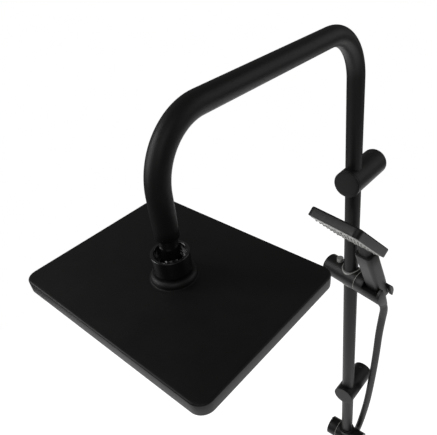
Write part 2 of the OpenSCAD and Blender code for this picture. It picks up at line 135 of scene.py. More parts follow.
def turned_by(angle, axis):
    return Matrix.Rotation(angle, 4, axis)


COLUMN = Matrix.Scale(MM, 4)
ALONG_X = turned_by(math.pi / 2, "Y")
AGAINST_X = turned_by(-math.pi / 2, "Y")
OUT_OF_WALL = turned_by(math.pi / 2, "X")
AT_SLIDER = COLUMN @ moved(0, RAIL_Y, SLIDER_Z) @ turned_by(SLIDER_TURN, "Z")
AT_HANDLE = AT_SLIDER @ moved(HANDLE_X, HANDLE_Y, 0) @ turned_by(HANDLE_LEAN, "X")
AT_HAND_HEAD = (AT_SLIDER @ moved(HANDLE_X, HAND_Y, HAND_Z) @ turned_by(HAND_LEAN, "X")
                @ OUT_OF_WALL)
AT_BALL = COLUMN @ moved(*BALL) @ turned_by(-DROP_LEAN, "X")
AT_HEAD = COLUMN @ moved(*BALL) @ turned_by(HEAD_ROLL, "Y")
AT_DIVERTER = COLUMN @ moved(0, RAIL_Y, DIVERTER_Z)


# ------------------------------------------------------------------ shader wiring
class Wire:
    """One output of a shader tree. Arithmetic on it adds Math nodes to that tree."""

    def __init__(self, tree, socket=None):
        self.tree = tree
        self.socket = socket

    def node(self, kind, settings=None, inputs=None, output=0):
        """Adds a node: its settings come first, then the values or links of its sockets."""
        made = self.tree.nodes.new(kind)
        for name, value in (settings or {}).items():
            setattr(made, name, value)
        for name, value in (inputs or {}).items():
            if isinstance(value, Wire):
                self.tree.links.new(value.socket, made.inputs[name])
            else:
                made.inputs[name].default_value = value
        return Wire(self.tree, made.outputs[output])

    def _math(self, operation, *values):
        return self.node("ShaderNodeMath", {"operation": operation}, dict(enumerate(values)))

    def __add__(self, other):
        return self._math("ADD", self, other)

    __radd__ = __add__

    def __mul__(self, other):
        return self._math("MULTIPLY", self, other)

    __rmul__ = __mul__

    def __sub__(self, other):
        return self._math("SUBTRACT", self, other)

    def __rsub__(self, other):
        return self._math("SUBTRACT", other, self)

    def clamped(self, low, high):
        """This value taken from low..high to 0..1, and held there."""
        return self.node("ShaderNodeMapRange", {"clamp": True},
                         {"Value": self, "From Min": low, "From Max": high})

    def tint(self, dark, light):
        """A colour between two colours, by this value."""
        return self.node("ShaderNodeMix", {"data_type": "RGBA"},
                         {0: self, 6: (*dark, 1), 7: (*light, 1)}, output=2)


def noise(place, scale, detail=2.0, roughness=0.5):
    return place.node("ShaderNodeTexNoise", None,
                      {"Vector": place, "Scale": scale, "Detail": detail,
                       "Roughness": roughness})


def bump(height, strength, depth):
    """A normal from a height field: depth in metres, strength from 0 to 1."""
    return height.node("ShaderNodeBump", None,
                       {"Height": height, "Strength": strength, "Distance": depth})


def finish(name, constants, build):
    """A material with one Principled shader. constants go straight on its sockets, and build
    takes the place wire (object coordinates, metres) and returns what varies over the surface."""
    if name in bpy.data.materials:
        return bpy.data.materials[name]
    material = bpy.data.materials.new(name)
    material.use_nodes = True
    tree = material.node_tree
    shader = tree.nodes["Principled BSDF"]
    for socket, value in constants.items():
        shader.inputs[socket].default_value = value
    coordinates = tree.nodes.new("ShaderNodeTexCoord")
    for socket, wire in build(Wire(tree, coordinates.outputs["Object"])).items():
        tree.links.new(wire.socket, shader.inputs[socket])
    return material


def facing_up(place):
    """1 on surfaces that face up, 0 on those that face down or sideways."""
    normal = place.node("ShaderNodeNewGeometry", output="Normal")
    height = place.node("ShaderNodeSeparateXYZ", None, {"Vector": normal}, output="Z")
    return height.clamped(0.2, 1.0)


def shade(colour, factor):
    return tuple(min(1.0, c * factor) for c in colour)


def powder_coat(name, colour, rough):
    """Baked powder coat: a fine orange-peel skin, slow clouds of tone and a breath of dust."""
    def build(place):
        peel = noise(place, 900, 3, 0.55)
        grit = noise(place, 5200, 2, 0.6)
        clouds = noise(place, 16, 3, 0.5).clamped(0.3, 0.7)
        dust = noise(place, 60, 5, 0.65).clamped(0.45, 0.8) * facing_up(place)
        tone = clouds * 0.45 + grit * 0.25 + dust * 0.3
        return {
            "Base Color": tone.tint(shade(colour, 0.78), shade(colour, 1.45)),
            "Roughness": rough + (grit - 0.5) * 0.12 + (clouds - 0.5) * 0.05 + dust * 0.06,
            "Normal": bump(peel * 0.7 + grit * 0.3, 0.35, 0.00012),
        }
    return finish(name, {"Specular IOR Level": 0.3}, build)


def moulded(name, colour, rough, grain=3200.0, texture=0.25, spread=0.1):
    """Moulded plastic: a fine spark-eroded grain with faint flow marks."""
    def build(place):
        fine = noise(place, grain, 2, 0.6)
        flow = noise(place, 28, 4, 0.6).clamped(0.3, 0.7)
        return {
            "Base Color": (flow * 0.6 + fine * 0.4).tint(shade(colour, 1 - spread * 1.5),
                                                        shade(colour, 1 + spread * 2)),
            "Roughness": rough + (fine - 0.5) * 0.14 + (flow - 0.5) * 0.06,
            "Normal": bump(fine, texture, 0.00006),
        }
    return finish(name, {"Specular IOR Level": 0.35}, build)


def lacquer(name, colour):
    """Glossy black lacquer over plated brass, with the slight waviness of a sprayed coat."""
    def build(place):
        wave = noise(place, 240, 2, 0.5)
        specks = noise(place, 1500, 3, 0.6).clamped(0.62, 0.75)
        return {
            "Base Color": specks.tint(colour, shade(colour, 2.2)),
            "Roughness": 0.16 + specks * 0.12 + (wave - 0.5) * 0.06,
            "Normal": bump(wave, 0.12, 0.0002),
        }
    return finish(name, {"Coat Weight": 0.6, "Coat Roughness": 0.08}, build)


def brushed(name, colour, rough):
    """Turned or plated metal with fine cutting lines across it."""
    def build(place):
        stretched = place.node("ShaderNodeMapping", None,
                               {"Vector": place, "Scale": (400, 400, 6000)})
        lines = noise(stretched, 1, 2, 0.6)
        stain = noise(place, 45, 4, 0.6).clamped(0.35, 0.75)
        return {
            "Base Color": (lines * 0.5 + stain * 0.5).tint(shade(colour, 0.72),
                                                          shade(colour, 1.1)),
            "Roughness": rough + (lines - 0.5) * 0.2 + stain * 0.08,
            "Normal": bump(lines, 0.25, 0.00005),
        }
    return finish(name, {"Metallic": 1.0}, build)


def rubber(name, colour, rough):
    """Black rubber: matt, a little dusty, with mould grain."""
    def build(place):
        grain = noise(place, 2400, 3, 0.6)
        bloom = noise(place, 70, 4, 0.6).clamped(0.4, 0.75)
        return {
            "Base Color": (grain * 0.4 + bloom * 0.6).tint(shade(colour, 0.7),
                                                          shade(colour, 1.9)),
            "Roughness": rough + (grain - 0.5) * 0.15,
            "Normal": bump(grain, 0.3, 0.00008),
        }
    return finish(name, {"Specular IOR Level": 0.35}, build)


# ------------------------------------------------------------------ shapes
def put_in_scene(name, shape, place, sharp_angle):
    """Turns a bmesh in millimetres into an object in metres, shaded smooth up to an angle."""
    bmesh.ops.transform(shape, matrix=place, verts=shape.verts)
    bmesh.ops.recalc_face_normals(shape, faces=shape.faces)
    mesh = bpy.data.meshes.new(name)
    shape.to_mesh(mesh)
    shape.free()
    mesh.shade_smooth()
    mesh.set_sharp_from_angle(angle=math.radians(sharp_angle))
    piece = bpy.data.objects.new(name, mesh)
    bpy.context.scene.collection.objects.link(piece)
    return piece


def add_skin(shape, rings, round_trip=False):
    """Faces between rings of points, closed by end caps or from the last ring to the first."""
    rows = [[shape.verts.new(p) for p in ring] for ring in rings]
    count = len(rows[0])
    pairs = list(zip(rows, rows[1:]))
    if round_trip:
        pairs.append((rows[-1], rows[0]))
    for lower, upper in pairs:
        for k in range(count):
            m = (k + 1) % count
            shape.faces.new((lower[k], lower[m], upper[m], upper[k]))
    if not round_trip:
        shape.faces.new(rows[0][::-1])
        shape.faces.new(rows[-1])


def eased(points, radius, steps=4, closed=True):
    """A 2D outline with each corner rounded by about radius, where there is room for it."""
    count, out = len(points), []
    for i, point in enumerate(points):
        p = Vector(point)
        if not closed and i in (0, count - 1):
            out.append(tuple(p))
            continue
        before, after = Vector(points[i - 1]) - p, Vector(points[(i + 1) % count]) - p
        room = min(radius, 0.45 * before.length, 0.45 * after.length)
        start, end = p + before.normalized() * room, p + after.normalized() * room
        for k in range(steps + 1):
            t = k / steps
            out.append(tuple(start * (1 - t) ** 2 + p * (2 * t * (1 - t)) + end * t * t))
    return out


def circle(r, z, sides):
    return [(r * math.cos(2 * math.pi * k / sides), r * math.sin(2 * math.pi * k / sides), z)
            for k in range(sides)]


def turned(name, profile, place, sides=96, hollow=False, ease=0.4, sharp=40):
    """A turned piece. profile holds (radius, height) points: a closed loop where hollow, else a
    line whose two ends are closed with flat caps."""
    shape = bmesh.new()
    rings = [circle(r, z, sides) for r, z in eased(profile, ease, closed=hollow)]
    add_skin(shape, rings, round_trip=hollow)
    return put_in_scene(name, shape, place, sharp)


def path_frames(points):
    """A placement at each point of a path, with Z along it and no twist between neighbours."""
    count, frames, side = len(points), [], None
    for i, point in enumerate(points):
        along = (points[min(i + 1, count - 1)] - points[max(i - 1, 0)]).normalized()
        if side is None:
            side = along.cross(Vector((0, 1, 0)) if abs(along.y) < 0.9 else Vector((1, 0, 0)))
        side = (side - along * side.dot(along)).normalized()
        other = along.cross(side)
        frames.append(Matrix.Translation(point) @ Matrix((side, other, along)).transposed().to_4x4())
    return frames


def carve(piece, operation, tools):
    """Cuts tools out of a piece, or joins them to it, and throws the tools away."""
    for tool in tools:
        modifier = piece.modifiers.new("carve", "BOOLEAN")
        modifier.operation = operation
        modifier.solver = "EXACT"
        modifier.object = tool
        bpy.context.view_layer.update()
        depsgraph = bpy.context.evaluated_depsgraph_get()
        result = bpy.data.meshes.new_from_object(piece.evaluated_get(depsgraph))
        piece.modifiers.clear()
        if not result.polygons:
            raise RuntimeError(f"{piece.name} vanished when it was carved")
        piece.data = result
        bpy.data.objects.remove(tool)
    piece.data.shade_smooth()
    piece.data.set_sharp_from_angle(angle=math.radians(35))
    return piece


def rounded_edges(piece, width):
    """Takes the sharpness off a carved piece's edges."""
    sharp = math.radians(40)
    modifier = piece.modifiers.new("edges", "BEVEL")
    modifier.width = width * MM
    modifier.segments = 2
    modifier.limit_method = "ANGLE"
    modifier.angle_limit = sharp
    modifier.use_clamp_overlap = True
    bpy.context.view_layer.update()
    depsgraph = bpy.context.evaluated_depsgraph_get()
    piece.data = bpy.data.meshes.new_from_object(piece.evaluated_get(depsgraph))
    piece.modifiers.clear()
    piece.data.shade_smooth()
    piece.data.set_sharp_from_angle(angle=sharp)
    return piece


def rectangle_reach(half_w, half_d, r, angle):
    """Distance from the centre of a rounded rectangle to its edge, in one direction."""
    c, s = abs(math.cos(angle)), abs(math.sin(angle))
    reach = min(half_w / max(c, 1e-9), half_d / max(s, 1e-9))
    x, y = reach * c, reach * s
    cx, cy = half_w - r, half_d - r
    if x > cx and y > cy:
        along = c * cx + s * cy
        reach = along + math.sqrt(max(along * along - cx * cx - cy * cy + r * r, 0))
    return reach


def rectangle_angles(half_w, half_d, r, even, corner):
    """Directions that follow a rounded rectangle well: even ones and extra ones at its corners."""
    found = {round(2 * math.pi * k / even, 6) for k in range(even)}
    for sx, sy, start in ((1, 1, 0), (-1, 1, 90), (-1, -1, 180), (1, -1, 270)):
        for k in range(corner + 1):
            turn = math.radians(start + 90 * k / corner)
            x = sx * (half_w - r) + r * math.cos(turn)
            y = sy * (half_d - r) + r * math.sin(turn)
            found.add(round(math.atan2(y, x) % (2 * math.pi), 6))
    return sorted(found)


def rectangle_ring(w, d, r, inset, z, angles):
    half_w, half_d = w / 2 - inset, d / 2 - inset
    reach = [rectangle_reach(half_w, half_d, max(r - inset, 0.3), a) for a in angles]
    return [(q * math.cos(a), q * math.sin(a), z) for q, a in zip(reach, angles)]


def eased_edge(inset, low, high, steps=4):
    """(inset, height) steps of an edge that is rounded by inset, from a side up to a top."""
    rise = high - low
    return [(inset * (1 - math.cos(math.pi / 2 * k / steps)),
             low + rise * math.sin(math.pi / 2 * k / steps)) for k in range(steps + 1)]


def dress(piece, body, slot, material, *nodes):
    """Gives a finished piece its body and its finish, and hides what it stands for. The slot is not
    used.
    """
    piece.data.materials.clear()
    piece.data.materials.append(material)
    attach(piece, body)
    if nodes:
        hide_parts(*nodes)
    return piece


def paint(material, *nodes):
    """Gives CAD nodes that keep their own shape a finish."""
    for name in nodes:
        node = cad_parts[name]
        if not node.material_slots:
            node.data.materials.append(material)
        for holder in node.material_slots:
            holder.material = material


# ------------------------------------------------------------------ settings
def colour_setting(name, text, default):
    return FloatVectorProperty(name=name, description=text, default=default, size=3,
                               subtype="COLOR", min=0, max=1)


def size_setting(name, text, default, low, high):
    return FloatProperty(name=name, description=text, default=default, min=low, max=high,
                         unit="LENGTH")


class ShowerFinishes(bpy.types.PropertyGroup):
    """Colours of the column's finishes."""

    coat: colour_setting("Coat", "Powder coat of the pipes and brackets", (0.0062, 0.0058, 0.0057))
    plastic: colour_setting("Plastic", "Black plastic of the slider and hand shower",
                            (0.0085, 0.0078, 0.0076))
    lacquer: colour_setting("Lacquer", "Glossy black of the union nut", (0.006, 0.006, 0.006))
    face: colour_setting("Shower face", "Light grey face of the hand shower", (0.5, 0.5, 0.48))
    button: colour_setting("Button", "Release button", (0.3, 0.3, 0.29))
    # The clear-ring colour is also the painted highlight at the rail bush's rim.
    ring: colour_setting("Clear rings", "Clear bush and seam rings", (0.42, 0.42, 0.4))
    hose: colour_setting("Hose", "Smooth hose", (0.010, 0.0092, 0.009))
    steel: colour_setting("Steel", "Plated steel", (0.5, 0.5, 0.51))
    brass: colour_setting("Brass", "Machined brass", (0.62, 0.44, 0.19))
    coat_roughness: FloatProperty(name="Coat roughness", description="Roughness of the coat",
                                  default=0.46, min=0, max=1, subtype="FACTOR")


class ShowerSizes(bpy.types.PropertyGroup):
    """Fine sizes of the pieces that are made here."""

    edge: size_setting("Edge", "Rounding of turned edges", 0.0006, 0.0001, 0.002)
    head_edge: size_setting("Head edge", "Rounding of the rain head's edges", 0.0016, 0.0003,
                            0.004)
    nozzle: size_setting("Nozzle", "Radius of a rain nozzle's tip", 0.0016, 0.0008, 0.0024)
    hose_diameter: size_setting("Hose diameter", "Outside diameter of the hose", 0.0125, 0.012,
                                0.014)
    pipe_sides: IntProperty(name="Pipe sides", description="Sides of a pipe's section",
                            default=72, min=24, max=128)


class ShowerStage(bpy.types.PropertyGroup):
    """Floor, light and camera."""

    floor_drop: size_setting("Floor drop", "Floor's depth below the column", 0.06, 0.0, 1.0)
    key_power: FloatProperty(name="Key light", description="Power of the soft box at the left",
                             default=14.0, min=0, max=400, unit="POWER")
    fill_power: FloatProperty(name="Fill light", description="Power of the soft box behind",
                              default=6.0, min=0, max=400, unit="POWER")
    glint_power: FloatProperty(name="Glint light", description="Power of the small lamp at the left",
                               default=1.2, min=0, max=100, unit="POWER")
    overhead: FloatProperty(name="Overhead", description="Strength of the wide front light",
                            default=0.35, min=0, max=40)
    floor_glow: FloatProperty(name="Floor glow", description="Light that the pale floor gives",
                              default=0.8, min=0, max=4)
    sky: FloatProperty(name="Sky", description="Strength of the even light all round",
                       default=0.12, min=0, max=1)


def settings():
    scene = bpy.context.scene
    return scene.shower_finishes, scene.shower_sizes, scene.shower_stage


def coat_finish():
    finishes = settings()[0]
    return powder_coat("powder_coat_black", finishes.coat, finishes.coat_roughness)


def plastic_finish():
    return moulded("moulded_plastic_black", settings()[0].plastic, 0.42)


def ring_finish():
    return moulded("clear_ring_plastic", settings()[0].ring, 0.3, texture=0.1, spread=0.05)


def bush_painted_light_finish():
    """Clear plastic with painted light: a pale band at its rim is a painted highlight, and the
    near-black inside it, against the rail, is painted shade.
    """
    colour = settings()[0].ring

    def build(place):
        x, y = (place.node("ShaderNodeSeparateXYZ", None, {"Vector": place}, output=axis)
                for axis in ("X", "Y"))
        y = y - RAIL_Y * MM
        rim = (x * x + y * y) * (1 / MM ** 2)
        grain = noise(place, 2600, 2, 0.6)
        # Painted highlight: pale only in a thin band at the bush's rim, with painted shade inside it.
        light = rim.clamped(12.6 ** 2, 13.1 ** 2) * 0.9 + grain * 0.1
        return {
            # Painted shade near black inside the rim, painted highlight in the clear-ring colour at
            # the rim.
            "Base Color": light.tint((0.02, 0.02, 0.02), colour),
            "Roughness": 0.26 + grain * 0.1,
            "Normal": bump(grain, 0.1, 0.00005),
        }
    return finish("clear_bush_painted_rim_light", {}, build)


def rubber_finish():
    return rubber("rubber_black", (0.012, 0.012, 0.012), 0.62)


def steel_finish():
    return brushed("plated_steel", settings()[0].steel, 0.34)


def brass_finish():
    return brushed("machined_brass", settings()[0].brass, 0.28)


# ------------------------------------------------------------------ pieces
class SHOWER_OT_pipes(bpy.types.Operator):
    """Sweep the overhead pipe and turn the rail"""

    bl_idname = "shower.pipes"
    bl_label = "Pipes"

    def execute(self, context):
        sides = settings()[1].pipe_sides
        path = [Vector((0, RAIL_Y, PIPE_GAP + (BEND_Z - PIPE_GAP) * k / 6)) for k in range(6)]
        back = Vector((0, RAIL_Y - BEND_R, BEND_Z))
        front = Vector((0, FRONT_BEND_Y, BEND_Z))
        steps = 28
        for k in range(steps + 1):
            a = math.pi / 2 * k / steps
            path.append(back + BEND_R * Vector((0, math.cos(a), math.sin(a))))
        for k in range(1, 8):
            path.append(back.lerp(front, k / 8) + Vector((0, 0, BEND_R)))
        for k in range(steps + 1):
            a = math.pi / 2 + (math.pi / 2 - DROP_LEAN) * k / steps
            path.append(front + BEND_R * Vector((0, math.cos(a), math.sin(a))))
        for k in range(1, 5):
            path.append(DROP_TOP + DROP_DOWN * (DROP_L * k / 4))
        frames = path_frames(path)
        frames[0].translation = path[0]
        outer = [[m @ Vector(p) for p in circle(PIPE_R, 0, sides)] for m in frames]
        inner = [[m @ Vector(p) for p in circle(PIPE_BORE, 0, sides)] for m in reversed(frames)]
        lip = 0.4
        end = frames[-1]
        outer[-1] = [end @ Vector(p) for p in circle(PIPE_R, -lip, sides)]
        outer.append([end @ Vector(p) for p in circle(PIPE_R - lip, 0, sides)])
        shape = bmesh.new()
        add_skin(shape, outer + inner, round_trip=True)
        piece = put_in_scene("overhead_pipe", shape, COLUMN, 50)
        dress(piece, "arm", "matte_black", coat_finish(), "upper_pipe")

        low, high = DIVERTER_Z + 9, -PIPE_GAP
        rail = turned("rail", [(PIPE_BORE, low), (PIPE_R, low), (PIPE_R, high),
                               (PIPE_BORE, high)],
                      COLUMN @ moved(0, RAIL_Y, 0), sides, hollow=True, ease=0.3)
        dress(rail, "column", "matte_black", coat_finish(), "lower_rail")
        return {"FINISHED"}


class SHOWER_OT_ball_joint(bpy.types.Operator):
    """Turn the ball nipple and the glossy union nut"""

    bl_idname = "shower.ball_joint"
    bl_label = "Ball joint"

    def execute(self, context):
        finishes, sizes, _ = settings()
        gloss = lacquer("lacquer_black", finishes.lacquer)
        bore = 4.0
        ball = [(BALL_R * math.cos(a), BALL_R * math.sin(a))
                for a in (math.radians(d) for d in range(-66, 52, 4))]
        profile = ([(bore, ball[0][1])] + ball
                   + [(6.4, 8.6), (6.4, 10), (8.8, 10), (8.8, 28.95), (9.75, 29), (9.75, 38),
                      (bore, 38)])
        piece = turned("ball_and_nipple", profile, AT_BALL, hollow=True, ease=0.3, sharp=35)
        dress(piece, "arm", "matte_black", gloss, "ball_nipple")

        nut = [(13.95, -2.5), (17.5, -2.5), (17.5, 15), (15.1, 15), (14.5, 14.2), (14.5, 6.2),
               (9.9, 6.2), (9.9, 4.1), (13.95, 4.1)]
        piece = turned("union_nut_turned", nut, AT_HEAD, sides=128, hollow=True,
                       ease=sizes.edge / MM, sharp=35)
        dress(piece, "rain_head", "matte_black", gloss, "union_nut")
        paint(ring_finish(), "ball_seat_ring", "flow_disc")
        paint(rubber_finish(), "ball_seal", "nipple_o_ring", "filter_washer", "coupler_o_rings")
        paint(brass_finish(), "pipe_coupler")
        return {"FINISHED"}


class SHOWER_OT_rain_head(bpy.types.Operator):
    """Build the rain head: slab with its flared collar, face plate and rubber nozzles"""

    bl_idname = "shower.rain_head"
    bl_label = "Rain head"

    def execute(self, context):
        finishes, sizes, _ = settings()
        w, d, t, corner = 230.0, 173.0, 13.0, 12.0
        top, under = -11.5, -24.5
        edge = sizes.head_edge / MM
        wall, deck = 2.5, 3.0
        angles = rectangle_angles(w / 2, d / 2, corner, 120, 10)

        def edge_ring(inset, z):
            return rectangle_ring(w, d, corner, inset, z, angles)

        def round_ring(r, z):
            return [(r * math.cos(a), r * math.sin(a), z) for a in angles]

        inlet, socket, thread, collar = 8, 11.6, 13.9, 17.6
        seat, rise = 0.5, 6.5
        shoulder = [(collar + 4 * math.cos(math.radians(a)),
                     top + 1.5 + 5 * math.sin(math.radians(a))) for a in range(80, -1, -10)]
        rings = [round_ring(r, z) for r, z in [
            (inlet, under + t - deck), (inlet, top - 0.9), (socket, -11), (socket, seat),
            (thread, seat), (thread, top + rise), (collar, top + rise), *shoulder,
            (collar + 4, top + 0.4), (22.2, top), (23.5, top)]]
        rings.append(edge_ring(edge + 1.5, top))
        rings += [edge_ring(inset, z) for inset, z in reversed(eased_edge(edge, top - edge, top))]
        rings += [edge_ring(inset, under + top - z)
                  for inset, z in eased_edge(edge * 0.6, top - edge * 0.6, top)]
        rings += [edge_ring(wall - 0.4, under), edge_ring(wall, under + 0.4),
                  edge_ring(wall, under + t - deck)]
        shape = bmesh.new()
        add_skin(shape, rings, round_trip=True)
        piece = put_in_scene("rain_head_slab", shape, AT_HEAD, 35)
        dress(piece, "rain_head", "satin_black_plastic", coat_finish(), "head_shell")

        tip = sizes.nozzle / MM
        nub = [(0.55, under - 0.4), (0.55, under - 1.2), (tip, under - 1.2), (2.3, under + 0.1),
               (2.3, under + 2.45), (2.45, under + 2.5)]
        shape = bmesh.new()
        columns, rows, pitch, sides = 11, 8, 19.0, 20
        for i in range(columns):
            for j in range(rows):
                x, y = (i - (columns - 1) / 2) * pitch, (j - (rows - 1) / 2) * pitch
                add_skin(shape, [[(px + x, py + y, pz) for px, py, pz in circle(r, z, sides)]
                                 for r, z in nub])
        mat_w, mat_d, mat_corner = w - 9, d - 9, corner - 2.5
        mat_angles = rectangle_angles(mat_w / 2, mat_d / 2, mat_corner, 24, 6)
        add_skin(shape, [rectangle_ring(mat_w, mat_d, mat_corner, 0, z, mat_angles)
                         for z in (under + 2.4, under + 4.4)])
        piece = put_in_scene("rain_nozzle_mat", shape, AT_HEAD, 35)
        dress(piece, "rain_head", "face_black", rubber("nozzle_rubber", (0.03, 0.03, 0.03), 0.5),
              "nozzle_mat")
        paint(moulded("face_plate_black", (0.02, 0.02, 0.02), 0.36), "head_face_plate")
        return {"FINISHED"}


class SHOWER_OT_brackets(bpy.types.Operator):
    """Turn the two wall brackets, bore them for the rail and cap them"""

    bl_idname = "shower.brackets"
    bl_label = "Wall brackets"

    def execute(self, context):
        edge = settings()[1].edge / MM
        front = BRACKET_FRONT - BRACKET_CAP
        for which, z in BRACKET_ZS.items():
            place = COLUMN @ moved(0, 0, z) @ OUT_OF_WALL
            sleeve = turned(f"{which}_bracket_sleeve",
                            [(14, 0), (BRACKET_R, 0), (BRACKET_R, front), (0.5, front),
                             (0.5, 31), (14, 31)], place, sides=112, hollow=True, ease=edge)
            rail_hole = turned("rail_hole", [(PIPE_R + 0.05, -30), (PIPE_R + 0.05, 30)],
                               COLUMN @ moved(0, RAIL_Y, z), sides=72)
            screw_hole = turned("screw_hole", [(2.5, 8), (2.5, 25)],
                                COLUMN @ moved(0, -12, z), sides=32)
            carve(sleeve, "DIFFERENCE", [rail_hole, screw_hole])
            dress(sleeve, "column", "matte_black", coat_finish(), f"{which}_bracket_body")
            cap = turned(f"{which}_bracket_disc",
                         [(BRACKET_R - 0.5, front + 0.05), (BRACKET_R, front + 0.5),
                          (BRACKET_R, front + BRACKET_CAP),
                          (BRACKET_R - 4, front + BRACKET_CAP)],
                         place, sides=112, ease=edge)
            dress(cap, "column", "matte_black", coat_finish(), f"{which}_bracket_cap")
        paint(steel_finish(), "upper_wall_stub", "lower_wall_stub")
        paint(brushed("screw_steel", (0.16, 0.16, 0.165), 0.3), "bracket_set_screws")
        return {"FINISHED"}


def handle_section(s):
    """Width and depth of the handle at a height s up its own axis."""
    rise = min(1, max(0, (s - HANDLE_LOW) / (HANDLE_TAPER - HANDLE_LOW)))
    return [end + (size - end) * rise for size, end in zip(HANDLE_SIZE, HANDLE_END)]


def box_block(name, low, high, place):
    """A plain block between two corners, to cut out of a piece."""
    shape = bmesh.new()
    add_skin(shape, [[(low[0], low[1], z), (high[0], low[1], z), (high[0], high[1], z),
                      (low[0], high[1], z)] for z in (low[2], high[2])])
    return put_in_scene(name, shape, place, 30)


def socket_block(name):
    """The tapered socket of the cradle, as a block to cut out of it."""
    clear = 0.3
    shape = bmesh.new()
    rings = []
    for s in (HANDLE_LOW - clear, HANDLE_TAPER, HANDLE_TAPER + 40):
        x, y = (side / 2 + clear for side in handle_section(s))
        rings.append([(-x, -y, s), (x, -y, s), (x, y, s), (-x, y, s)])
    add_skin(shape, rings)
    return put_in_scene(name, shape, AT_HANDLE, 30)


class SHOWER_OT_slider(bpy.types.Operator):
    """Turn the slider, its cap, ring and button, and carve the holder's cradle"""

    bl_idname = "shower.slider"
    bl_label = "Slider and holder"

    def execute(self, context):
        finishes, sizes, _ = settings()
        edge = sizes.edge / MM
        plastic = plastic_finish()
        r = SLIDER_R
        left, right = SLIDER_ENDS
        barrel = turned("slider_barrel", [(r, left + 2), (r, right)], AT_SLIDER @ ALONG_X,
                        sides=112, ease=edge)
        bush_hole = turned("bush_hole", [(13.85, -30), (13.85, 30)], AT_SLIDER, sides=72)
        button_hole = turned("button_hole", [(5.25, -1), (5.25, 30)],
                             AT_SLIDER @ moved(BUTTON_X, 0, 0), sides=48)
        carve(barrel, "DIFFERENCE", [bush_hole, button_hole])
        dress(barrel, "slider", "satin_black_plastic", plastic, "slider_body")
        cap = turned("slider_cap", [(r, 0.05), (r, 2), (r - 4, 2)],
                     AT_SLIDER @ moved(left + 2, 0, 0) @ AGAINST_X, sides=112, ease=edge)
        dress(cap, "slider", "matte_black", coat_finish(), "slider_end_cap")
        ring = turned("slider_ring", [(6, 0.05), (r - 0.1, 0.05), (r - 0.1, 0.85), (6, 0.85)],
                      AT_SLIDER @ moved(right, 0, 0) @ ALONG_X, sides=112, hollow=True, ease=0.2)
        dress(ring, "slider", "clear_ring", ring_finish(), "slider_seam_ring")

        button = turned("button_cap", [(5.2, 9), (5.2, 23.3), (4.9, 24), (4.2, 24), (3.9, 23.8)],
                        AT_SLIDER @ moved(BUTTON_X, 0, 0), sides=64, ease=0.5)
        dress(button, "button", "button_grey",
              moulded("button_plastic", finishes.button, 0.38, texture=0.2, spread=0.04),
              "release_button")

        cradle = turned("cradle", [(r, HOLDER_ENDS[0]), (r, HOLDER_ENDS[1])],
                        AT_SLIDER @ ALONG_X, sides=112, ease=1.2)
        pivot_hole = turned("pivot_hole", [(5.05, 15), (5.05, 29)], AT_SLIDER @ ALONG_X, sides=48)
        cone_hole = turned("cone_hole", [(CONE_TOP_R + 0.4, -50), (CONE_TOP_R + 0.4, -9)],
                           AT_HANDLE, sides=64)
        half = HANDLE_SIZE[0] / 2 + 0.3
        mouth = box_block("mouth", (HANDLE_X - half, -40, LIP_TOP), (HANDLE_X + half, 5, 40),
                          AT_SLIDER)
        gap = sizes.hose_diameter / MM / 2 + 0.5
        slot = box_block("hose_slot", (0, -gap, -60), (40, gap, 60), AT_HANDLE)
        carve(cradle, "DIFFERENCE", [pivot_hole, mouth, socket_block("socket"), cone_hole, slot])
        rounded_edges(cradle, 0.5)
        dress(cradle, "holder", "satin_black_plastic", plastic, "holder_cradle")
        # The rail bush gets a painted highlight at its rim and painted shade inside it.
        paint(bush_painted_light_finish(), "rail_bush")
        paint(steel_finish(), "button_spring", "holder_pivot")
        return {"FINISHED"}


